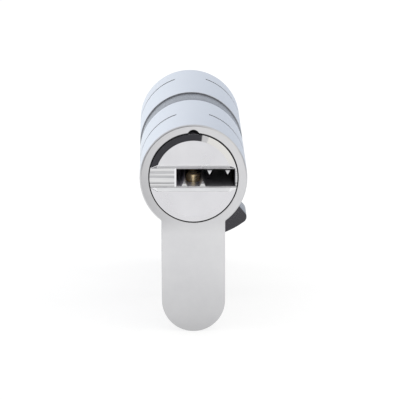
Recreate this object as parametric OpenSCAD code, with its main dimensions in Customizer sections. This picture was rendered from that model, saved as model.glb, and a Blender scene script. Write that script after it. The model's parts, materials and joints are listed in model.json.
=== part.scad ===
/* [Profile] */
// Diameter of the round barrel
barrel_d = 17; // [17:0.5:18]
// Width of the flat flange under the barrel
flange_w = 10; // [9:0.5:11]
// Height of the whole profile, barrel top to flange bottom
profile_h = 33; // [32.5:0.5:34]
// Length of the housing over both halves
housing_l = 70; // [70:1:90]

/* [Plugs] */
// Diameter of each plug's body in its bore
plug_d = 12.9; // [12.7:0.1:12.9]
// Diameter of each plug's head
head_d = 13.96; // [13.9:0.02:14]
// How far each head stands out of the housing face
head_proud = 0.5; // [0.3:0.1:0.6]
// Height of the keyway
keyway_h = 2.76; // [2.5:0.02:2.9]
// Depth of the groove across each head
face_groove_depth = 1; // [0.8:0.1:1.2]

/* [Pins] */
// Key pins in each half
pin_count = 6; // [5:1:6]
// Distance from one pin to the next
pin_pitch = 3.9; // [3.8:0.05:4]
// Distance from the housing face to the first pin
first_pin = 6.5; // [6:0.1:6.8]
// Diameter of the key pins and driver pins
pin_d = 2.8; // [2.6:0.1:2.8]
// Wire diameter of the pin springs
spring_wire = 0.36; // [0.3:0.02:0.4]

/* [Cam] */
// Width of the slot that the cam turns in
slot_w = 10; // [10:0.2:10.6]
// Width of the cam
cam_w = 9.4; // [9.2:0.1:9.6]
// Radius of the cam lever's tip
cam_tip_r = 14.6; // [14:0.1:15.2]
// Angle of the lever from straight down
cam_rest_angle = 29.5; // [25:0.5:35]
// Angle that the lever spans at the axis
cam_lever_angle = 21.6; // [18:0.2:24]

/* [Fixing] */
// Wall diameter of the fixing-screw hole before its thread
screw_hole_d = 4.2; // [4:0.1:4.4]
// Distance from the lock axis down to the fixing screw
screw_drop = 20; // [19.8:0.1:20.4]

/* [Hidden] */
$fn = 72;
eps = 0.01;
half_l = housing_l / 2;
barrel_r = barrel_d / 2;
flange_r = flange_w / 2;
axis_z = screw_drop;
flange_bottom = barrel_r - profile_h;
edge_chamfer = 0.25;

// Plug bore, its counterbore for the head, and the plug's own steps
plug_r = plug_d / 2;
head_r = head_d / 2;
bore_r = 6.5;
counterbore_r = 7.1;
counterbore_depth = 2;
head_gap = 0.03;
face_flat_r = 6;
bevel_depth = 0.6;
tail_r = 5.95;
tail_end = 1.7;
clutch_slot_w = 3;
clutch_slot_end = 3.6;

// Keyway across the plug, with pointed ribs on its floor and roof
keyway_left = -2.7;
keyway_right = 6.6;
floor_ribs = [-1.45, 1.45];
floor_rib_w = 0.95;
floor_rib_h = 0.95;
roof_ribs = [2.55, 5.4];
roof_rib_w = 1;
roof_rib_h = 0.95;
face_groove_h = 3;
face_groove_chamfer = 0.6;

// Pin chambers and the pins in them, measured from the lock axis
chamber_r = 1.45;
pin_r = pin_d / 2;
nose_r = 1.12;
nose_hole_r = 1.2;
chamber_step = -2.4;
pin_shoulder = -3.1;
pin_foot = -6.28;
pin_bevel = 0.22;
nose_bevel = 0.35;
tip_heights = [0.08, -0.55, -0.3, -0.7, -0.4, -0.6];
driver_top = -6.52;
driver_l = 5.2;
driver_waist_r = 1.1;
driver_land = 1.3;
chamber_plug_top = -21;
spring_r = 1.12;
spring_turns = 7;
spring_gap = 0.02;
coil_sides = 6;
coil_rings = 10;

// Circlips that hold the plugs, against the walls of the cam slot
circlip_inner_r = 5.3;
circlip_outer_r = 6.95;
circlip_w = 0.8;
circlip_gap = 0.05;
circlip_opening = 3;

// Cam ring and the clutch inside it
cam_ring_r = 8.3;
cam_bore_r = 6;
cam_recess_r = 7.25;
cam_recess_end = 3.95;
cam_track_r = 7;
cam_track_end = 2;
cam_drive_half = 0.75;
cam_corner_r = 1;
lever_steps = 8;
slot_bottom = -15.8;
clutch_r = 5.9;
clutch_lug_r = 6.9;
clutch_key_w = 2.8;
clutch_w = 0.7;
clutch_shift = 0.85;
clutch_dog_l = 1.8;
clutch_dog_h = 9;
clutch_pocket_r = 2.2;
clutch_pocket_depth = 0.35;
clutch_spring_r = 1.75;
clutch_spring_turns = 2.5;

// Hardened pins against drilling, and the index notch in each face
drill_pin_r = 1;
drill_pin_y = 3.2;
drill_pin_top = -7.6;
plug_drill_pin_r = 0.9;
plug_drill_pin_x = 2.4;
plug_drill_pin_foot = 2.6;
notch_r = 0.96;
notch_z = 6.7;
notch_depth = 4;

// Arc grooves in the barrel: where they are along Y, and their span from the top
arc_groove_y = [-20, 25];
arc_groove_w = 0.9;
arc_groove_depth = 0.35;
arc_groove_start = 18;
arc_groove_end = 144;

SIDES = ["front", "rear"];

function pin_y(i) = -half_l + first_pin + (i - 1) * pin_pitch;

// The front half is built as it lies; the rear half is the same, turned about the vertical
module at_side(side) {
    translate([0, 0, axis_z]) rotate([0, 0, side == "rear" ? 180 : 0]) children();
}

// A rod along Y between two places
module rod_y(r, from, to) {
    translate([0, from, 0]) rotate([-90, 0, 0]) cylinder(r = r, h = to - from);
}

// A cone along Y between two places
module cone_y(r_from, r_to, from, to) {
    translate([0, from, 0]) rotate([-90, 0, 0]) cylinder(r1 = r_from, r2 = r_to, h = to - from);
}

// An outline in X and Z, extruded along Y
module slab_y(from, to) {
    translate([0, to, 0]) rotate([90, 0, 0]) linear_extrude(to - from) children();
}

// A box given by its lowest and highest corners
module box(low, high) {
    translate(low) cube(high - low);
}

// A vertical rod at a pin's place
module pin_rod(i, r, from, to) {
    translate([0, pin_y(i), from]) cylinder(r = r, h = to - from);
}

// A ring sector about the Y axis, from one angle to another, angles from +X towards +Z
module sector_y(r_in, r_out, a_from, a_to, w) {
    translate([0, w / 2, 0]) rotate([90, 0, 0]) rotate([0, 0, a_from])
        rotate_extrude(angle = a_to - a_from) translate([r_in, 0]) square([r_out - r_in, w]);
}

// A wound spring standing on Z = 0
module coil(r, wire, length, turns) {
    n = ceil(turns * coil_rings);
    wire_r = wire / 2;
    ring = [for (k = [0:coil_sides - 1]) k * 360 / coil_sides];
    points = [
        for (i = [0:n], t = ring)
            let (a = i * 360 * turns / n, out = r + wire_r * cos(t))
            [out * cos(a), out * sin(a), wire_r + i * (length - wire) / n + wire_r * sin(t)]
    ];
    function at(i, k) = i * coil_sides + k % coil_sides;
    walls = [
        for (i = [0:n - 1], k = [0:coil_sides - 1], half = [0, 1])
            half == 0
                ? [at(i, k), at(i, k + 1), at(i + 1, k)]
                : [at(i, k + 1), at(i + 1, k + 1), at(i + 1, k)]
    ];
    start = [[for (k = [coil_sides - 1:-1:0]) at(0, k)]];
    end = [[for (k = [0:coil_sides - 1]) at(n, k)]];
    polyhedron(points = points, faces = concat(walls, start, end));
}

module barrel() {
    rod_y(barrel_r, -half_l + edge_chamfer, half_l - edge_chamfer);
    cone_y(barrel_r - edge_chamfer, barrel_r, -half_l, -half_l + edge_chamfer);
    cone_y(barrel_r, barrel_r - edge_chamfer, half_l - edge_chamfer, half_l);
}

module flange() {
    box([-flange_r, -half_l, flange_bottom + flange_r], [flange_r, half_l, 0]);
    translate([0, 0, flange_bottom + flange_r]) rod_y(flange_r, -half_l, half_l);
}

module half_bores() {
    rod_y(bore_r, -half_l - 1, -slot_w / 2 + eps);
    rod_y(counterbore_r, -half_l - 1, -half_l + counterbore_depth);
    translate([0, 0, notch_z]) rod_y(notch_r, -half_l - 1, -half_l + notch_depth);
    for (i = [1:pin_count]) pin_rod(i, chamber_r, flange_bottom - 1, -plug_r + 1);
    translate([0, -half_l + drill_pin_y, flange_bottom - 1])
        cylinder(r = drill_pin_r, h = drill_pin_top - flange_bottom + 1);
}

module arc_groove(y) {
    floor_r = barrel_r - arc_groove_depth;
    for (start = [90 - arc_groove_end, 90 + arc_groove_start])
        translate([0, y, 0])
            sector_y(floor_r, barrel_r + 1, start, start + arc_groove_end - arc_groove_start, arc_groove_w);
}

module housing() {
    color("lightgray")
        difference() {
            translate([0, 0, axis_z])
                difference() {
                    union() {
                        barrel();
                        flange();
                    }
                    box([-barrel_r - 1, -slot_w / 2, slot_bottom], [barrel_r + 1, slot_w / 2, barrel_r + 1]);
                    half_bores();
                    rotate([0, 0, 180]) half_bores();
                    for (y = arc_groove_y) arc_groove(y);
                }
            rotate([0, 90, 0]) cylinder(d = screw_hole_d, h = flange_w + 2, center = true);
        }
}

// Outline of the keyway: floor from left to right, then roof from right to left
module keyway_outline() {
    half_h = keyway_h / 2;
    floor_points = [
        for (u = floor_ribs)
            each [[u - floor_rib_w / 2, -half_h], [u, floor_rib_h - half_h], [u + floor_rib_w / 2, -half_h]]
    ];
    roof_points = [
        for (u = [roof_ribs[1], roof_ribs[0]])
            each [[u + roof_rib_w / 2, half_h], [u, half_h - roof_rib_h], [u - roof_rib_w / 2, half_h]]
    ];
    polygon(concat(
        [[keyway_left, -half_h]], floor_points, [[keyway_right, -half_h], [keyway_right, half_h]],
        roof_points, [[keyway_left, half_h]]
    ));
}

// Groove across the plug's face, with bevelled edges
module face_groove() {
    front = -half_l - head_proud;
    half_h = face_groove_h / 2;
    wide = half_h + face_groove_chamfer;
    translate([-head_r - 1, 0, 0]) rotate([90, 0, 90]) linear_extrude(head_d + 2)
        polygon([
            [front - 1, -wide], [front, -wide], [front + face_groove_chamfer, -half_h],
            [front + face_groove_depth, -half_h], [front + face_groove_depth, half_h],
            [front + face_groove_chamfer, half_h], [front, wide], [front - 1, wide]
        ]);
}

module plug(side) {
    front = -half_l - head_proud;
    head_back = -half_l + counterbore_depth - head_gap;
    circlip_front = -slot_w / 2 + circlip_gap;
    color("gainsboro") at_side(side)
        difference() {
            union() {
                cone_y(face_flat_r, head_r, front, front + bevel_depth);
                rod_y(head_r, front + bevel_depth, head_back);
                rod_y(plug_r, head_back, -slot_w / 2);
                rod_y(circlip_inner_r, -slot_w / 2, -tail_end);
                rod_y(tail_r, -slot_w / 2, circlip_front);
                rod_y(tail_r, circlip_front + circlip_w, -tail_end);
            }
            face_groove();
            slab_y(front - 1, -tail_end + 1) keyway_outline();
            for (i = [1:pin_count]) {
                pin_rod(i, chamber_r, -plug_r - 1, chamber_step);
                pin_rod(i, nose_hole_r, chamber_step - eps, -keyway_h / 4);
            }
            box([-clutch_slot_w / 2, -clutch_slot_end, -plug_r], [clutch_slot_w / 2, 0, plug_r]);
            plug_drill_pins_cut();
        }
}

module plug_drill_pins_cut() {
    for (x = [-plug_drill_pin_x, plug_drill_pin_x])
        translate([x, -half_l + drill_pin_y, plug_drill_pin_foot])
            cylinder(r = plug_drill_pin_r, h = plug_r);
}

module plug_drill_pins(side) {
    color("dimgray") at_side(side)
        intersection() {
            plug_drill_pins_cut();
            rod_y(plug_r - 2 * eps, -half_l, 0);
        }
}

module drill_pin(side) {
    color("dimgray") at_side(side)
        intersection() {
            translate([0, -half_l + drill_pin_y, flange_bottom - 1])
                cylinder(r = drill_pin_r, h = drill_pin_top - flange_bottom + 1);
            flange();
        }
}

module chamber_plugs(side) {
    color("goldenrod") at_side(side)
        intersection() {
            for (i = [1:pin_count]) pin_rod(i, chamber_r, flange_bottom - 1, chamber_plug_top);
            flange();
        }
}

module circlip(side) {
    from = -slot_w / 2 + circlip_gap;
    color("silver") at_side(side)
        difference() {
            rod_y(circlip_outer_r, from, from + circlip_w);
            rod_y(circlip_inner_r, from - 1, from + circlip_w + 1);
            box([-circlip_opening / 2, from - 1, 0], [circlip_opening / 2, from + circlip_w + 1, barrel_r]);
        }
}

module key_pin(side, i) {
    tip = tip_heights[i - 1];
    color("gold") at_side(side)
        translate([0, pin_y(i), 0]) {
            translate([0, 0, pin_foot]) cylinder(r1 = pin_r - pin_bevel, r2 = pin_r, h = pin_bevel);
            translate([0, 0, pin_foot + pin_bevel])
                cylinder(r = pin_r, h = pin_shoulder - pin_foot - pin_bevel);
            translate([0, 0, pin_shoulder]) cylinder(r = nose_r, h = tip - nose_bevel - pin_shoulder);
            translate([0, 0, tip - nose_bevel]) cylinder(r1 = nose_r, r2 = nose_r - nose_bevel, h = nose_bevel);
        }
}

module driver_pin(side, i) {
    foot = driver_top - driver_l;
    color("silver") at_side(side)
        translate([0, pin_y(i), 0])
            rotate_extrude()
                polygon([
                    [0, foot], [pin_r, foot], [pin_r, foot + driver_land],
                    [driver_waist_r, foot + driver_land + pin_bevel],
                    [driver_waist_r, driver_top - driver_land - pin_bevel],
                    [pin_r, driver_top - driver_land], [pin_r, driver_top], [0, driver_top]
                ]);
}

module pin_spring(side, i) {
    length = driver_top - driver_l - chamber_plug_top - spring_gap;
    color("lightsteelblue") at_side(side)
        translate([0, pin_y(i), chamber_plug_top + eps])
            coil(spring_r, spring_wire, length, spring_turns);
}

// Outline of the cam lever: one side, a round corner, the tip, a round corner, the other side
module lever_outline() {
    middle = -90 + cam_rest_angle;
    first = middle - cam_lever_angle / 2;
    last = middle + cam_lever_angle / 2;
    corner_at = cam_tip_r - cam_corner_r;
    corner = asin(cam_corner_r / corner_at);
    root_r = (cam_recess_r + cam_ring_r) / 2;
    function polar(r, a) = [r * cos(a), r * sin(a)];
    function arc(centre, r, from, to, steps) =
        [for (k = [0:steps]) centre + polar(r, from + (to - from) * k / steps)];
    polygon(concat(
        [polar(root_r, first)],
        arc(polar(corner_at, first + corner), cam_corner_r, first - 90, first + corner, lever_steps),
        arc([0, 0], cam_tip_r, first + 2 * corner, last - 2 * corner, lever_steps),
        arc(polar(corner_at, last - corner), cam_corner_r, last - corner, last + 90, lever_steps),
        [polar(root_r, last)]
    ));
}

module cam() {
    color("dimgray") translate([0, 0, axis_z])
        difference() {
            union() {
                rod_y(cam_ring_r, -cam_w / 2, cam_w / 2);
                slab_y(-cam_w / 2, cam_w / 2) lever_outline();
            }
            rod_y(cam_bore_r, -cam_w, cam_w);
            for (turn = [0, 180]) rotate([0, 0, turn]) {
                rod_y(cam_recess_r, -cam_w, -cam_recess_end);
                rod_y(cam_track_r, -cam_track_end, -cam_drive_half);
            }
            intersection() {
                rod_y(cam_track_r, -cam_w, cam_w);
                box([-clutch_slot_w / 2, -cam_w, -barrel_r], [clutch_slot_w / 2, cam_w, barrel_r]);
            }
        }
}

// One half of the clutch, its spring pocket at Y = 0 and its dog towards -Y
module clutch_half() {
    half_w = clutch_key_w / 2;
    difference() {
        union() {
            rod_y(clutch_r, -clutch_w, 0);
            intersection() {
                rod_y(clutch_lug_r, -clutch_w, 0);
                box([-half_w, -clutch_w, -barrel_r], [half_w, 0, barrel_r]);
            }
            box([-half_w, -clutch_w - clutch_dog_l, -clutch_dog_h / 2], [half_w, -clutch_w, clutch_dog_h / 2]);
        }
        rod_y(clutch_pocket_r, -clutch_pocket_depth, 1);
    }
}

module front_clutch() {
    color("slategray") translate([0, 0, axis_z]) clutch_half();
}

module rear_clutch() {
    color("slategray") translate([0, clutch_shift, axis_z]) rotate([0, 0, 180]) clutch_half();
}

module clutch_spring() {
    length = clutch_shift + 2 * clutch_pocket_depth - spring_gap;
    color("lightsteelblue")
        translate([0, -clutch_pocket_depth + eps, axis_z])
            rotate([-90, 0, 0])
                coil(clutch_spring_r, spring_wire, length, clutch_spring_turns);
}

housing();
plug("front");  // front_plug
plug("rear");  // rear_plug
circlip("front");  // front_circlip
circlip("rear");  // rear_circlip
cam();
front_clutch();
rear_clutch();
clutch_spring();
for (s = SIDES, i = [1:pin_count]) {
    key_pin(s, i);
    driver_pin(s, i);
    pin_spring(s, i);
}
for (s = SIDES) {
    chamber_plugs(s);
    drill_pin(s);
    plug_drill_pins(s);
}
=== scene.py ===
"""The looks of a euro profile double lock cylinder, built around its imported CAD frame."""

import json
import math

import bmesh
import bpy
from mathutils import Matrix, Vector

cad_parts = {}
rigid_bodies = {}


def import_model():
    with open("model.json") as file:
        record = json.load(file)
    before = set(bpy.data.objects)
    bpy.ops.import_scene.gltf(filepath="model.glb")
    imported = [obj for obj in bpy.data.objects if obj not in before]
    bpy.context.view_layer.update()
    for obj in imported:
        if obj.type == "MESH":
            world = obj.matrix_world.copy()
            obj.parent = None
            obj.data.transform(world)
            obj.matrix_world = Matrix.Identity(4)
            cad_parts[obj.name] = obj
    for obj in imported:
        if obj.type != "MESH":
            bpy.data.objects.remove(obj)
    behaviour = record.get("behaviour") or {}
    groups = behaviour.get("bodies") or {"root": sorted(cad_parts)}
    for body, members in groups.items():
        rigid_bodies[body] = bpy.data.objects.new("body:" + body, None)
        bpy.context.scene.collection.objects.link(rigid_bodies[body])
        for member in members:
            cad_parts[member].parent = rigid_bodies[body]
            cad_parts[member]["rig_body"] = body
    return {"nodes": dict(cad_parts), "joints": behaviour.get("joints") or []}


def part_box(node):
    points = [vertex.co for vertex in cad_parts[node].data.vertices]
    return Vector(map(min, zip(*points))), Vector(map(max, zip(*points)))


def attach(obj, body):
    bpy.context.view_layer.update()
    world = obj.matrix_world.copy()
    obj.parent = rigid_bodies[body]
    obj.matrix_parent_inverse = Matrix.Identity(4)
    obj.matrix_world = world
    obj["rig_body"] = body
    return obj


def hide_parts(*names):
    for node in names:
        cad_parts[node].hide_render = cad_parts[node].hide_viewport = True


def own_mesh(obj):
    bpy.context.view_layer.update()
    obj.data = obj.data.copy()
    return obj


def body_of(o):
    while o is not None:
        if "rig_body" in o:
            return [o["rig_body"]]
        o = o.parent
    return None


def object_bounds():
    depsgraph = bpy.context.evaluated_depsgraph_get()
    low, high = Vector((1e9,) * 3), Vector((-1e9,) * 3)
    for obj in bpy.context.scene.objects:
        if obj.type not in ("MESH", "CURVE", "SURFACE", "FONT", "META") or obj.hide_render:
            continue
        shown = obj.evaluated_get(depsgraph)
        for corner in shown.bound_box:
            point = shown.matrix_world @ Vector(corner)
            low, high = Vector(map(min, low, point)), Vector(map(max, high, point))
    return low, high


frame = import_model()
cad_low, cad_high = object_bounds()

MM = 0.001
SIDES = ("front", "rear")
JOINTS = {joint["name"]: joint for joint in frame["joints"]}
# A point on the lock axis, which runs along y
AXIS = Vector(JOINTS["front_plug_turn"]["pos_m"])
PIN_COUNT = sum(name.startswith("front_key_pin_") for name in frame["nodes"])
HOUSING_LOW, HOUSING_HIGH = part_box("housing")
FACE_Y = HOUSING_LOW.y
PLUG_FACE_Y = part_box("front_plug")[0].y
BARREL_R = HOUSING_HIGH.x
# Lowest point of the flange, measured from the lock axis as every height in a material is
FLANGE_FOOT = HOUSING_LOW.z - AXIS.z

# Radius of the housing's counterbore for a plug's head
COUNTERBORE_R = 7.1 * MM
# Radius of the flat on each plug's face, where its bevel starts
FACE_FLAT_R = 6.0 * MM
# Depth of the groove across each plug's face, and half its height
GROOVE_DEPTH = 1.0 * MM
GROOVE_HALF = 1.5 * MM
# Width and depth of the chamfer along both lips of that groove
GROOVE_CHAMFER = 0.6 * MM
# Half the height of the keyway, and its left and right sides seen from the plug's own face
KEYWAY_HALF = 1.38 * MM
KEYWAY_SIDES = (-2.7 * MM, 6.6 * MM)
# Half the length of the slot that the cam turns in, and its bottom under the lock axis
SLOT_HALF = 5.0 * MM
SLOT_BOTTOM = -15.8 * MM
# Places of the arc grooves along the barrel
ARC_GROOVE_Y = (-20 * MM, 25 * MM)
ARC_GROOVE_DEPTH = 0.35 * MM
ARC_GROOVE_HALF = 0.45 * MM
# Wall of the fixing-screw hole, and the thread in it, which starts a little inside both mouths
SCREW_R = 2.1 * MM
THREAD_DEPTH = 0.4 * MM
THREAD_PITCH = 0.8 * MM
THREAD_HALF = 3.7 * MM
# The notch hole in each end face: its height over the lock axis, and its radius
NOTCH_Z = 6.7 * MM
NOTCH_R = 0.96 * MM
# How far the edges of each kind of piece are rounded over
HOUSING_EDGE = 0.1 * MM
PLUG_EDGE = 0.04 * MM
CIRCLIP_EDGE = 0.08 * MM
CAM_EDGE = 0.2 * MM
CLUTCH_EDGE = 0.1 * MM
PIN_EDGE = 0.08 * MM
# Wire of every spring, and the radius of the wire's middle and the turns of the two kinds
SPRING_WIRE = 0.36 * MM
PIN_SPRING_R = 1.12 * MM
CLUTCH_SPRING_R = 1.75 * MM
PIN_SPRING_TURNS = 8
CLUTCH_SPRING_TURNS = 3
# How far a mask in a material reaches past the edge of the surface that it is for
SLACK = 0.03 * MM
# How far a mask stays clear of the edge of a surface that it isn't for
CLEAR = 0.02 * MM


# ---------------------------------------------------------------- node helpers


class Nodes:
    """Short calls for building the node tree of a material or of the world."""

    def __init__(self, owner, shader, coords):
        owner.use_nodes = True
        self.owner = owner
        self.tree = owner.node_tree
        self.shader = self.tree.nodes[shader]
        self.coords = self.tree.nodes.new("ShaderNodeTexCoord").outputs[coords]

    def link(self, source, target):
        self.tree.links.new(source, target)

    def stretched(self, scale):
        """Object coordinates, scaled along each axis."""
        node = self.tree.nodes.new("ShaderNodeMapping")
        node.inputs["Scale"].default_value = scale
        self.link(self.coords, node.inputs["Vector"])
        return node.outputs["Vector"]

    def noise(self, scale, stretch=(1, 1, 1), detail=4.0, rough=0.55):
        """Noise with grains about 1 / scale metres long, divided by stretch along each axis."""
        node = self.tree.nodes.new("ShaderNodeTexNoise")
        node.inputs["Scale"].default_value = scale
        node.inputs["Detail"].default_value = detail
        node.inputs["Roughness"].default_value = rough
        self.link(self.stretched(stretch), node.inputs["Vector"])
        return node.outputs["Fac"]

    def ramp(self, value, stops):
        """A colour or grey ramp: stops are (place, colour)."""
        node = self.tree.nodes.new("ShaderNodeValToRGB")
        points = node.color_ramp.elements
        while len(points) < len(stops):
            points.new(0.5)
        for point, (place, colour) in zip(points, stops):
            point.position = place
            point.color = (*colour, 1) if hasattr(colour, "__len__") else (colour, colour, colour, 1)
        self.link(value, node.inputs["Fac"])
        return node.outputs["Color"]

    def math(self, operation, a, b=None, c=None):
        node = self.tree.nodes.new("ShaderNodeMath")
        node.operation = operation
        for socket, value in zip(node.inputs, (a, b, c)):
            if value is None:
                continue
            if isinstance(value, (int, float)):
                socket.default_value = value
            else:
                self.link(value, socket)
        return node.outputs[0]

    def mix(self, factor, a, b):
        """Colour a where factor is 0 and colour b where it is 1."""
        node = self.tree.nodes.new("ShaderNodeMix")
        node.data_type = "RGBA"
        self.link(factor, node.inputs["Factor"])
        # The node has a socket A, B and Result for each data type, and these are the ones for colours
        colour_a, colour_b, result = node.inputs[6], node.inputs[7], node.outputs[2]
        for socket, value in ((colour_a, a), (colour_b, b)):
            if hasattr(value, "is_linked"):
                self.link(value, socket)
            else:
                socket.default_value = (*value, 1)
        return result

    def times(self, a, b):
        """Colours a and b multiplied."""
        node = self.tree.nodes.new("ShaderNodeVectorMath")
        node.operation = "MULTIPLY"
        self.link(a, node.inputs[0])
        self.link(b, node.inputs[1])
        return node.outputs[0]

    def split(self):
        """Object coordinates as x, y and z, measured from the lock axis."""
        move = self.tree.nodes.new("ShaderNodeVectorMath")
        move.operation = "SUBTRACT"
        move.inputs[1].default_value = AXIS
        self.link(self.coords, move.inputs[0])
        node = self.tree.nodes.new("ShaderNodeSeparateXYZ")
        self.link(move.outputs[0], node.inputs[0])
        return node.outputs["X"], node.outputs["Y"], node.outputs["Z"]

    def length(self, a, b):
        """Length of the pair a, b."""
        return self.math("SQRT", self.math("MULTIPLY_ADD", a, a, self.math("MULTIPLY", b, b)))

    def share(self, value, low, high):
        """How far value is on its way from low, 0, to high, 1."""
        return self.math("DIVIDE", self.math("SUBTRACT", value, low), high - low)

    def clamped(self, value):
        return self.math("MINIMUM", self.math("MAXIMUM", value, 0), 1)

    def above(self, value, limit):
        return self.math("GREATER_THAN", value, limit)

    def below(self, value, limit):
        return self.math("LESS_THAN", value, limit)

    def both(self, *masks):
        out = masks[0]
        for mask in masks[1:]:
            out = self.math("MULTIPLY", out, mask)
        return out

    def bump(self, height, strength, distance):
        node = self.tree.nodes.new("ShaderNodeBump")
        node.inputs["Strength"].default_value = strength
        node.inputs["Distance"].default_value = distance
        self.link(height, node.inputs["Height"])
        self.link(node.outputs["Normal"], self.shader.inputs["Normal"])

    def colour(self, socket):
        self.link(socket, self.shader.inputs["Base Color"])

    def roughness(self, socket):
        self.link(socket, self.shader.inputs["Roughness"])


# ------------------------------------------------------------------- materials


def new_material(name, metallic=0):
    n = Nodes(bpy.data.materials.new(name), "Principled BSDF", "Object")
    n.shader.inputs["Metallic"].default_value = metallic
    return n


def satin_nickel():
    """Nickel plate on the housing: a fine grain, faint handling marks, painted shade in the recesses and
    arc grooves, and painted shading on the end faces.
    """
    n = new_material("satin_nickel", 1)
    x, y, z = n.split()
    depth = n.math("ABSOLUTE", y)
    radius = n.length(x, z)
    off_groove = [n.math("ABSOLUTE", n.math("SUBTRACT", y, place)) for place in ARC_GROOVE_Y]
    near_groove = n.below(n.math("MINIMUM", *off_groove), ARC_GROOVE_HALF + SLACK)
    under_wall = n.below(radius, BARREL_R - 2 * SLACK)
    in_groove = n.both(near_groove, under_wall, n.above(radius, BARREL_R - 1.5 * ARC_GROOVE_DEPTH))
    from_notch = n.length(x, n.math("SUBTRACT", z, NOTCH_Z))
    under_face = n.below(depth, -FACE_Y - HOUSING_EDGE)
    in_notch = n.both(n.below(from_notch, NOTCH_R + SLACK), under_face)
    in_bore = n.both(n.below(radius, COUNTERBORE_R + SLACK), under_face)
    # The painted shade on the bore's rim widens from nothing at its foot to its full width at its head,
    # as the shade in the gap does
    rim_shade_foot, rim_shade_head = -1 * MM, 4 * MM
    rim_shade_width, rim_shade_depth = 0.12 * MM, 0.15 * MM
    up_rim_shade = n.clamped(n.share(z, rim_shade_foot, rim_shade_head))
    rim_shade_r = n.math("MULTIPLY_ADD", up_rim_shade, rim_shade_width, COUNTERBORE_R)
    in_rim_shade = n.below(n.math("SUBTRACT", radius, rim_shade_r), 0)
    on_rim_shade = n.both(in_rim_shade, n.above(depth, -FACE_Y - rim_shade_depth))
    recess = n.math("MAXIMUM", n.math("MAXIMUM", in_notch, in_bore), on_rim_shade)
    in_slot = n.both(n.below(depth, SLOT_HALF + SLACK), n.above(z, SLOT_BOTTOM - SLACK))

    grain = n.noise(900, (1, 0.06, 1), 6)
    cloud = n.noise(160, (1, 1, 1), 3)
    tone = n.math("ADD", n.math("MULTIPLY", grain, 0.35), n.math("MULTIPLY", cloud, 0.65))
    plate = n.ramp(tone, [(0.25, (0.565, 0.565, 0.58)), (0.75, (0.625, 0.625, 0.635))])
    on_face = n.above(depth, -FACE_Y - HOUSING_EDGE / 2)
    # Painted shading: the end faces are made darker towards the ring's lower left and down the flange,
    # and lighter to the right
    plate = n.mix(on_face, plate, n.times(plate, face_painted_shading(n, x, z)))
    milled = n.ramp(grain, [(0.3, (0.26, 0.27, 0.30)), (0.7, (0.36, 0.38, 0.42))])
    # Painted shade: the arc grooves get this dark colour in place of the shadow in them
    groove_painted_shade = n.ramp(grain, [(0.3, (0.13, 0.13, 0.14)), (0.7, (0.20, 0.20, 0.21))])
    # Painted shade: the notch hole, the bore wall and a strip on the bore's rim get this dark colour
    recess_painted_shade = n.ramp(grain, [(0.3, (0.05, 0.05, 0.055)), (0.7, (0.09, 0.09, 0.10))])
    plate = n.mix(in_groove, n.mix(in_slot, plate, milled), groove_painted_shade)
    n.colour(n.mix(recess, plate, recess_painted_shade))
    n.roughness(n.ramp(tone, [(0.2, 0.28), (0.8, 0.38)]))
    n.bump(grain, strength=0.12, distance=0.02 * MM)
    return n.owner


def face_painted_shading(n, x, z):
    """Painted light and shade on the end faces: darker at the ring's lower left and lighter at its
    right, and darker down the flange.
    """
    rightward, upward = 0.9, 0.35
    slant = n.math("ADD", n.math("MULTIPLY", x, rightward), n.math("MULTIPLY", z, upward))
    ring_stops = [(0.0, 0.79), (0.08, 0.87), (0.21, 0.97), (0.32, 1.0), (0.94, 1.09)]
    ring = n.ramp(n.share(slant, -BARREL_R, BARREL_R), ring_stops)
    flange_stops = [(0.05, 0.85), (0.17, 0.92), (0.45, 1.01), (0.7, 1.09), (1.0, 1.12)]
    flange = n.ramp(n.share(z, FLANGE_FOOT, -BARREL_R), flange_stops)
    ring_end, flange_start = -6.5 * MM, -9 * MM
    return n.mix(n.clamped(n.share(z, ring_end, flange_start)), ring, flange)


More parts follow.
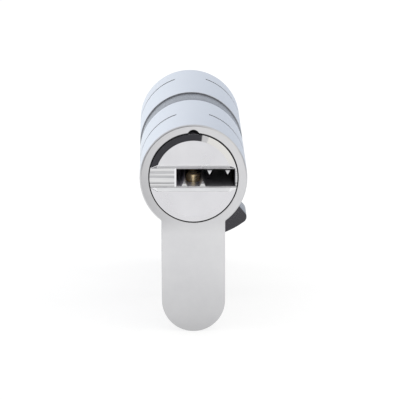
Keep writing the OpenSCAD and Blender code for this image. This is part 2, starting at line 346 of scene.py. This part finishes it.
def plug_nickel(side):
    """Nickel plate on a plug: a polished bevel, a streaked groove floor, painted shade on the rib fronts
    and in the bare keyway, and painted highlights on the lip chamfers and the keyway's left edge.
    """
    n = new_material("plug_nickel_" + side, 1)
    x, y, z = n.split()
    across = n.math("MULTIPLY", x, 1 if side == "front" else -1)
    depth = n.math("ABSOLUTE", y)
    height = n.math("ABSOLUTE", z)
    floor_depth = -PLUG_FACE_Y - GROOVE_DEPTH
    over_floor, under_floor = 0.1 * MM, 0.06 * MM
    in_groove = n.both(n.below(height, GROOVE_HALF - CLEAR), n.below(depth, floor_depth + over_floor))
    inside = n.below(depth, floor_depth - under_floor)
    on_bevel = n.both(n.above(n.length(x, z), FACE_FLAT_R + CLEAR), n.above(height, GROOVE_HALF))
    # On the chamfer, which slopes at 45 degrees, height minus depth is the same all over
    chamfer = GROOVE_HALF + GROOVE_CHAMFER + PLUG_FACE_Y
    chamfer_reach = 0.05 * MM
    off_lip = n.math("ABSOLUTE", n.math("SUBTRACT", n.math("SUBTRACT", height, depth), chamfer))
    lip_painted_light = n.below(off_lip, chamfer_reach)

    cloud = n.noise(220, (1, 1, 1), 3)
    face = n.ramp(cloud, [(0.3, (0.665, 0.662, 0.685)), (0.7, (0.71, 0.707, 0.73))])
    streaks = n.noise(260, (0.25, 1, 12), 4, 0.7)
    streak_stops = [(0.34, (0.40, 0.40, 0.42)), (0.5, (0.66, 0.66, 0.67)), (0.8, (0.80, 0.80, 0.80))]
    milled = n.ramp(streaks, streak_stops)
    marked = n.mix(tool_marks(n, z), milled, (0.16, 0.16, 0.17))
    # Painted shade on the fronts of the keyway ribs, under the roof and at the tips over the floor
    ribs = n.mix(rib_painted_shade(n, across, z), marked, (0.025, 0.024, 0.027))
    smears = n.noise(700, (1, 0.2, 1), 4)
    # Painted shade: the inside of the keyway gets this dark colour, and the ramp below paints it lighter
    # towards the keyway's left side
    keyway_painted_shade = n.ramp(smears, [(0.3, (0.24, 0.235, 0.26)), (0.8, (0.36, 0.35, 0.38))])
    left = KEYWAY_SIDES[0]
    keyway_painted_shade = n.times(keyway_painted_shade, n.ramp(n.share(across, left, 2 * MM), [(0.0, 2.2), (1.0, 1.0)]))
    # Painted highlight: a pale strip along the keyway's left edge, where the edge catches the light
    edge_highlight_width = 0.3 * MM
    keyway_edge_painted_highlight = n.both(n.above(across, left - edge_highlight_width), n.below(across, left - CLEAR))
    ribs = n.mix(keyway_edge_painted_highlight, ribs, (0.84, 0.84, 0.86))
    # Painted light: the groove's lip chamfers get a paler colour, so that they come out as bright as a
    # lit chamfer
    face = n.mix(lip_painted_light, face, (0.9, 0.9, 0.91))
    n.colour(n.mix(inside, n.mix(in_groove, face, ribs), keyway_painted_shade))
    n.link(n.math("MULTIPLY_ADD", inside, -0.9, 1), n.shader.inputs["Metallic"])

    satin = n.ramp(cloud, [(0.2, 0.26), (0.8, 0.33)])
    polished = n.ramp(cloud, [(0.2, 0.05), (0.8, 0.09)])
    n.roughness(n.mix(on_bevel, satin, polished))
    n.bump(n.both(streaks, in_groove), strength=0.4, distance=0.04 * MM)
    return n.owner


def tool_marks(n, z):
    """The few deeper lines that the cutter left along the groove: 1 on a line, fading along it."""
    # Height and half width of each line in millimetres, and its strength
    lines = ((0.95, 0.09, 0.45), (0.28, 0.09, 0.6), (-0.87, 0.10, 1.0), (-1.32, 0.09, 0.6))
    marks = None
    for height, width, strength in lines:
        off = n.math("ABSOLUTE", n.math("SUBTRACT", z, height * MM))
        line = n.math("SUBTRACT", 1, n.math("DIVIDE", off, width * MM))
        line = n.math("MULTIPLY", n.math("MAXIMUM", line, 0), strength)
        marks = line if marks is None else n.math("MAXIMUM", marks, line)
    worn = n.math("MULTIPLY_ADD", n.noise(420, (1, 1, 6), 3), 1.2, 0.3)
    return n.clamped(n.math("MULTIPLY", marks, worn))


def rib_painted_shade(n, across, z):
    """Painted shade on the front of a keyway rib: at its root under the roof, and at its tip over the
    floor.
    """
    side_wall = 0.05 * MM
    in_keyway = n.both(
        n.above(across, KEYWAY_SIDES[0] + side_wall),
        n.below(across, KEYWAY_SIDES[1] - side_wall),
        n.below(n.math("ABSOLUTE", z), KEYWAY_HALF),
    )
    root_height, bright_height, fade_height = 0.24 * MM, 0.2 * MM, 0.75 * MM
    root = n.above(z, KEYWAY_HALF - root_height)
    over_bright = n.math("DIVIDE", n.math("ADD", z, KEYWAY_HALF - bright_height), fade_height)
    tip = n.both(n.clamped(over_bright), n.below(z, 0))
    return n.both(in_keyway, n.math("MAXIMUM", root, tip))


def blackened_steel():
    """Oil-blackened sintered steel of the cam: pitted, dull black, bright only at a glancing angle."""
    n = new_material("blackened_steel")
    n.shader.inputs["IOR"].default_value = 1.6
    pits = n.noise(2600, (1, 1, 1), 5, 0.6)
    cloud = n.noise(300, (1, 1, 1), 3)
    n.colour(n.ramp(cloud, [(0.3, (0.012, 0.010, 0.018)), (0.7, (0.024, 0.021, 0.032))]))
    n.roughness(n.ramp(pits, [(0.3, 0.20), (0.7, 0.32)]))
    n.bump(pits, strength=0.12, distance=0.02 * MM)
    return n.owner


def turned_metal(name, dark, light, rough, rings=2400):
    """Turned metal with fine rings along its length and a little tarnish."""
    n = new_material(name, 1)
    turning = n.noise(rings, (0.1, 0.1, 1), 3)
    tarnish = n.noise(500, (1, 1, 1), 4)
    n.colour(n.ramp(tarnish, [(0.3, dark), (0.7, light)]))
    n.roughness(n.ramp(turning, [(0.2, rough - 0.06), (0.8, rough + 0.06)]))
    n.bump(turning, strength=0.15, distance=0.01 * MM)
    return n.owner


def floor_paper():
    """Pale translucent paper, lit from below as well, with a barely visible tooth."""
    n = new_material("floor_paper")
    n.shader.inputs["Roughness"].default_value = 0.9
    n.shader.inputs["Specular IOR Level"].default_value = 0
    n.shader.inputs["Emission Color"].default_value = (1, 1, 1, 1)
    n.shader.inputs["Emission Strength"].default_value = 0.72
    tooth = n.noise(60, (1, 1, 1), 4)
    n.colour(n.ramp(tooth, [(0.3, (0.34, 0.34, 0.34)), (0.7, (0.36, 0.36, 0.36))]))
    return n.owner


NICKEL = satin_nickel()
CAM_STEEL = blackened_steel()
BRASS = turned_metal("turned_brass", (0.66, 0.51, 0.285), (0.95, 0.78, 0.49), 0.28)
NICKEL_SILVER = turned_metal("nickel_silver", (0.52, 0.50, 0.46), (0.68, 0.66, 0.62), 0.26)
SPRING_STEEL = turned_metal("spring_steel", (0.42, 0.43, 0.45), (0.60, 0.61, 0.64), 0.28, 3000)
HARD_STEEL = turned_metal("hard_steel", (0.22, 0.22, 0.24), (0.34, 0.34, 0.36), 0.35)
CLUTCH_STEEL = turned_metal("clutch_steel", (0.30, 0.31, 0.33), (0.44, 0.45, 0.47), 0.3)


# -------------------------------------------------------------------- geometry


def give(obj, material):
    obj.data.materials.clear()
    obj.data.materials.append(material)


def softened(
    node, name, material, edge, angle=35, keep_sharp=lambda place: False, cut=lambda bm: bm
):
    """A copy of a CAD node as one welded mesh, whose sharp edges are rounded over by edge metres.
    cut is done to the mesh first. An edge is sharp above angle degrees, and stays as it is where
    keep_sharp says so of its middle."""
    same_place = 1e-7
    flat = math.radians(0.4)
    bm = bmesh.new()
    bm.from_mesh(frame["nodes"][node].data)
    bmesh.ops.remove_doubles(bm, verts=bm.verts, dist=same_place)
    bm = cut(bm)
    drop_slivers(bm)
    bmesh.ops.dissolve_limit(bm, angle_limit=flat, verts=bm.verts, edges=bm.edges)
    rounded = []
    for line in bm.edges:
        if line.calc_face_angle(0) <= math.radians(angle):
            continue
        line.smooth = not keep_sharp((line.verts[0].co + line.verts[1].co) / 2)
        if line.smooth:
            rounded.append(line)
    bmesh.ops.bevel(
        bm, geom=rounded, offset=edge, offset_type="OFFSET", segments=3, profile=0.5,
        affect="EDGES", clamp_overlap=False, miter_outer="ARC",
    )
    drop_slivers(bm)
    piece = new_piece(name, bm, material)
    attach(piece, body_of(frame["nodes"][node])[0])
    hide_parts(node)
    return piece


def drop_slivers(bm):
    """Closes up faces and edges that are too narrow to see."""
    narrow = 2e-6
    bmesh.ops.remove_doubles(bm, verts=bm.verts, dist=narrow)
    bmesh.ops.dissolve_degenerate(bm, dist=narrow, edges=bm.edges)


def as_object(name, bm):
    """The mesh, finished, as an object in the scene."""
    mesh = bpy.data.meshes.new(name)
    bm.to_mesh(mesh)
    bm.free()
    obj = bpy.data.objects.new(name, mesh)
    bpy.context.scene.collection.objects.link(obj)
    return obj


def new_piece(name, bm, material):
    """The mesh as a piece, shaded so that each broad face is even right up to its rounded edges."""
    normals = broad_normals(bm)
    for face in bm.faces:
        face.smooth = True
    piece = as_object(name, bm)
    piece.data.normals_split_custom_set(normals)
    give(piece, material)
    return piece


def broad_normals(bm):
    """A normal for each face corner: the mean of the faces around it with no crease between them,
    in which a narrow strip, such as a rounded edge, counts for next to nothing."""
    broad = 0.2 * MM
    least_share = 1e-6
    share = {}
    for face in bm.faces:
        width = face.calc_area() / max(line.calc_length() for line in face.edges)
        share[face] = min(width / broad, 1) ** 2 + least_share
    normals = {}
    for vert in bm.verts:
        for fan in smooth_fans(vert):
            total = Vector()
            for loop in fan:
                total += loop.face.normal * (loop.calc_angle() * share[loop.face])
            for loop in fan:
                normals[loop] = total.normalized() if total.length > 0 else loop.face.normal
    return [normals[loop] for face in bm.faces for loop in face.loops]


def smooth_fans(vert):
    """The face corners at a vertex, in groups parted by a crease of over 50 degrees or a kept edge."""
    crease = math.radians(50)
    left = {loop.face: loop for loop in vert.link_loops}
    fans = []
    while left:
        waiting = [next(iter(left))]
        fan = [left.pop(waiting[0])]
        while waiting:
            face = waiting.pop()
            for line in face.edges:
                if vert not in line.verts or not line.smooth or line.calc_face_angle(math.pi) > crease:
                    continue
                for other in line.link_faces:
                    if other in left:
                        fan.append(left.pop(other))
                        waiting.append(other)
        fans.append(fan)
    return fans


def wound_spring(name, foot, radius, height, turns, axis="Z"):
    """A compression spring: its end coils lie closed, and the coils between them are open."""
    sides, steps_a_turn = 10, 28
    steps = int(turns * steps_a_turn)
    bm = bmesh.new()
    rings = []
    for i in range(steps + 1):
        turn = turns * i / steps
        rise = spring_rise(turn, turns, height)
        a = 2 * math.pi * turn
        ring = []
        for k in range(sides):
            t = 2 * math.pi * k / sides
            out = radius + SPRING_WIRE / 2 * math.cos(t)
            p = Vector((out * math.cos(a), out * math.sin(a), rise + SPRING_WIRE / 2 * math.sin(t)))
            if axis == "Y":
                p = Vector((p.x, p.z, p.y))
            ring.append(bm.verts.new(foot + p))
        rings.append(ring)
    skin_rings(bm, rings)
    return new_piece(name, bm, SPRING_STEEL)


def skin_rings(bm, rings):
    """Faces between rings of points, and over both ends."""
    sides = len(rings[0])
    for lower, upper in zip(rings, rings[1:]):
        for k in range(sides):
            bm.faces.new((lower[k], lower[(k + 1) % sides], upper[(k + 1) % sides], upper[k]))
    bm.faces.new(reversed(rings[0]))
    bm.faces.new(rings[-1])
    bmesh.ops.recalc_face_normals(bm, faces=bm.faces)


def spring_rise(turn, turns, height):
    """Height of the wire's middle after a number of turns."""
    closed = 0.9
    low = SPRING_WIRE / 2 + SPRING_WIRE * min(turn, closed)
    if turn <= closed:
        return low
    top = height - SPRING_WIRE / 2
    if turn >= turns - closed:
        return top - SPRING_WIRE * (turns - turn)
    share = (turn - closed) / (turns - 2 * closed)
    return low + share * (top - SPRING_WIRE * closed - low)


def pin_spring(side, i):
    """A driver pin's spring, wound in the place of the CAD spring."""
    node = f"{side}_spring_{i}"
    low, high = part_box(node)
    middle = (low + high) / 2
    foot = Vector((AXIS.x, middle.y, low.z))
    spring = wound_spring(f"wound_{node}", foot, PIN_SPRING_R, high.z - low.z, PIN_SPRING_TURNS)
    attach(spring, "housing")
    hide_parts(node)
    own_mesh(spring)


def groove_or_thread(place):
    """Whether a place is on an arc groove or on the thread, whose edges stay crisp."""
    radius = math.hypot(place.x, place.z - AXIS.z)
    on_wall = BARREL_R - 2 * ARC_GROOVE_DEPTH < radius < BARREL_R + ARC_GROOVE_DEPTH
    on_groove = on_wall and min(abs(place.y - y) for y in ARC_GROOVE_Y) < 2 * ARC_GROOVE_HALF
    thread_r = SCREW_R + 2 * THREAD_DEPTH
    on_thread = abs(place.x) < THREAD_HALF and math.hypot(place.y, place.z) < thread_r
    return on_groove or on_thread


def thread_ridge():
    """What a tap takes out of the fixing-screw hole: a ridge along a helix, which fades in and out."""
    steps_a_turn = 24
    fade, least = 0.6 * THREAD_PITCH, 0.1
    # The foot stands clear of the wall, inside the hole
    foot_r = SCREW_R - 0.06 * MM
    full_height = SCREW_R + THREAD_DEPTH - foot_r
    foot, crest = 0.44 * THREAD_PITCH, 0.06 * THREAD_PITCH
    bm = bmesh.new()
    rings = []
    for i in range(int(2 * THREAD_HALF / THREAD_PITCH * steps_a_turn) + 1):
        a = 2 * math.pi * i / steps_a_turn
        x = THREAD_PITCH * i / steps_a_turn - THREAD_HALF
        crest_r = foot_r + full_height * max(min((THREAD_HALF - abs(x)) / fade, 1), least)
        ring = []
        for aside, r in ((-foot, foot_r), (-crest, crest_r), (crest, crest_r), (foot, foot_r)):
            ring.append(bm.verts.new((x + aside, r * math.cos(a), r * math.sin(a))))
        rings.append(ring)
    skin_rings(bm, rings)
    return as_object("thread_ridge", bm)


def cut_thread(bm):
    """The housing's mesh with the fixing screw's thread cut into the wall of its hole."""
    blank = as_object("plain_housing", bm)
    cutter = thread_ridge()
    taking_away = blank.modifiers.new("thread", "BOOLEAN")
    taking_away.operation = "DIFFERENCE"
    taking_away.solver = "EXACT"
    taking_away.object = cutter
    cut = bmesh.new()
    cut.from_object(blank, bpy.context.evaluated_depsgraph_get())
    for obj in (blank, cutter):
        bpy.data.objects.remove(obj)
    return cut


def housing_piece():
    softened(
        "housing", "housing_shell", NICKEL, HOUSING_EDGE,
        angle=30, keep_sharp=groove_or_thread, cut=cut_thread,
    )


def plug_pieces():
    for side in SIDES:
        plate = plug_nickel(side)
        softened(f"{side}_plug", f"{side}_plug_turned", plate, PLUG_EDGE, angle=22)
        softened(f"{side}_circlip", f"{side}_circlip_ring", SPRING_STEEL, CIRCLIP_EDGE)
        give(frame["nodes"][f"{side}_plug_drill_pins"], HARD_STEEL)
        give(frame["nodes"][f"{side}_drill_pin"], HARD_STEEL)
        give(frame["nodes"][f"{side}_chamber_plugs"], BRASS)


def cam_pieces():
    softened("cam", "cam_sintered", CAM_STEEL, CAM_EDGE)
    for side in SIDES:
        softened(f"{side}_clutch", f"{side}_clutch_half", CLUTCH_STEEL, CLUTCH_EDGE)
    low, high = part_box("clutch_spring")
    foot = Vector((AXIS.x, low.y, AXIS.z))
    spring = wound_spring(
        "clutch_spring_wound", foot, CLUTCH_SPRING_R, high.y - low.y, CLUTCH_SPRING_TURNS, axis="Y"
    )
    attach(spring, "front_clutch")
    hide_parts("clutch_spring")


def pin_pieces():
    for side in SIDES:
        for i in range(1, PIN_COUNT + 1):
            key_pin = f"{side}_key_pin_{i}"
            driver = f"{side}_driver_pin_{i}"
            softened(key_pin, f"{key_pin}_turned", BRASS, PIN_EDGE)
            softened(driver, f"{driver}_turned", NICKEL_SILVER, PIN_EDGE)
            pin_spring(side, i)


# ----------------------------------------------------------------------- stage


def floor():
    size = 6.0
    bpy.ops.mesh.primitive_plane_add(size=size, location=(0, 0, cad_low.z))
    obj = bpy.context.object
    obj.name = "floor"
    give(obj, floor_paper())


def flag(name, start, end, cloth):
    """A piece of a ring around the line of sight, from start to end degrees, that the bevel reflects."""
    aside, distance, below_axis = 0.0015, 0.15, 0.023
    centre = Vector((aside, FACE_Y - distance, AXIS.z - below_axis))
    inner, outer = 0.12, 0.42
    steps = 24
    bm = bmesh.new()
    pairs = []
    for i in range(steps + 1):
        a = math.radians(start + (end - start) * i / steps)
        out = Vector((math.cos(a), 0, math.sin(a)))
        pairs.append([bm.verts.new(centre + out * r) for r in (inner, outer)])
    for (a, b), (c, d) in zip(pairs, pairs[1:]):
        bm.faces.new((a, b, d, c))
    card = as_object(name, bm)
    give(card, cloth)
    unseen(card)


def flags():
    """A black flag that makes the dark crescent, and a thin scrim that softens its right end."""
    scrim_start, black_start, black_end = 68, 77, 171
    black = new_material("flag_cloth")
    black.shader.inputs["Specular IOR Level"].default_value = 0.4
    cloth_stops = [(0.3, (0.012, 0.011, 0.016)), (0.7, (0.02, 0.019, 0.026))]
    black.colour(black.ramp(black.noise(200), cloth_stops))
    flag("black_flag", black_start, black_end, black.owner)
    thin = new_material("scrim_cloth")
    thin.shader.inputs["Emission Strength"].default_value = 1
    glow = thin.ramp(thin.noise(200), [(0.3, (0.70, 0.70, 0.69)), (0.7, (0.78, 0.78, 0.76))])
    thin.link(glow, thin.shader.inputs["Emission Color"])
    thin.shader.inputs["Base Color"].default_value = (0, 0, 0, 1)
    flag("scrim", scrim_start, black_start, thin.owner)


def backdrop_card():
    """A pale blue card behind the object, which shows in the barrel and is brighter on its left."""
    width, height = 0.6, 0.4
    behind, under_floor = 0.2, 0.05
    middle = (0, behind, cad_low.z + height / 2 - under_floor)
    bpy.ops.mesh.primitive_plane_add(size=1, location=middle)
    obj = bpy.context.object
    obj.name = "backdrop_card"
    obj.scale = (width, height, 1)
    obj.rotation_euler = (math.pi / 2, 0, 0)
    n = new_material("card_glow")
    n.shader.inputs["Base Color"].default_value = (0, 0, 0, 1)
    n.shader.inputs["Emission Strength"].default_value = 1
    across = n.tree.nodes.new("ShaderNodeSeparateXYZ")
    n.link(n.coords, across.inputs[0])
    share = n.math("ADD", across.outputs["X"], 0.5)
    glow_stops = [(0.38, (1.12, 1.21, 1.32)), (0.5, (0.91, 0.98, 1.09)), (0.62, (0.72, 0.79, 0.90))]
    glow = n.ramp(share, glow_stops)
    n.link(glow, n.shader.inputs["Emission Color"])
    give(obj, n.owner)
    unseen(obj)


def unseen(obj):
    """A card of the studio: it shows in reflections and nowhere else."""
    for ray in ("visible_camera", "visible_shadow", "visible_diffuse", "visible_transmission"):
        setattr(obj, ray, False)


def studio_light():
    """Soft white light from all round, warm from the upper right and grey on either side."""
    world = bpy.data.worlds.new("studio")
    bpy.context.scene.world = world
    n = Nodes(world, "Background", "Generated")
    apart = n.tree.nodes.new("ShaderNodeSeparateXYZ")
    n.link(n.coords, apart.inputs[0])
    tent = n.ramp(apart.outputs["Z"], [(0.15, (1.0, 1.0, 1.0)), (0.9, (0.92, 0.925, 0.94))])
    sideways = n.math("ABSOLUTE", apart.outputs["X"])
    at_side = n.ramp(sideways, [(0.88, 0.0), (0.97, 1.0)])
    tent = n.mix(at_side, tent, (0.52, 0.53, 0.55))
    upper_right = Vector((0.55, -0.6, 0.58)).normalized()
    towards = n.tree.nodes.new("ShaderNodeVectorMath")
    towards.operation = "DOT_PRODUCT"
    n.link(n.coords, towards.inputs[0])
    towards.inputs[1].default_value = upper_right
    warm = n.ramp(towards.outputs["Value"], [(0.80, 0.0), (0.93, 1.0)])
    light = n.mix(warm, tent, (1.08, 1.07, 1.0))
    n.link(light, n.shader.inputs["Color"])


def camera():
    """A long lens in front of the outside key face, looking a little down."""
    place = Vector((-0.00637, -0.74957, 0.12621))
    towards = Vector((0.01023, 0.98837, -0.15174))
    data = bpy.data.cameras.new("camera")
    data.sensor_width = 36
    data.lens = 412.7
    data.clip_end = 100
    obj = bpy.data.objects.new("camera", data)
    obj.location = place
    obj.rotation_euler = towards.to_track_quat("-Z", "Y").to_euler()
    bpy.context.scene.collection.objects.link(obj)
    bpy.context.scene.camera = obj


housing_piece()
plug_pieces()
cam_pieces()
pin_pieces()
floor()
flags()
backdrop_card()
studio_light()
camera()
bpy.context.scene.view_settings.view_transform = "Standard"
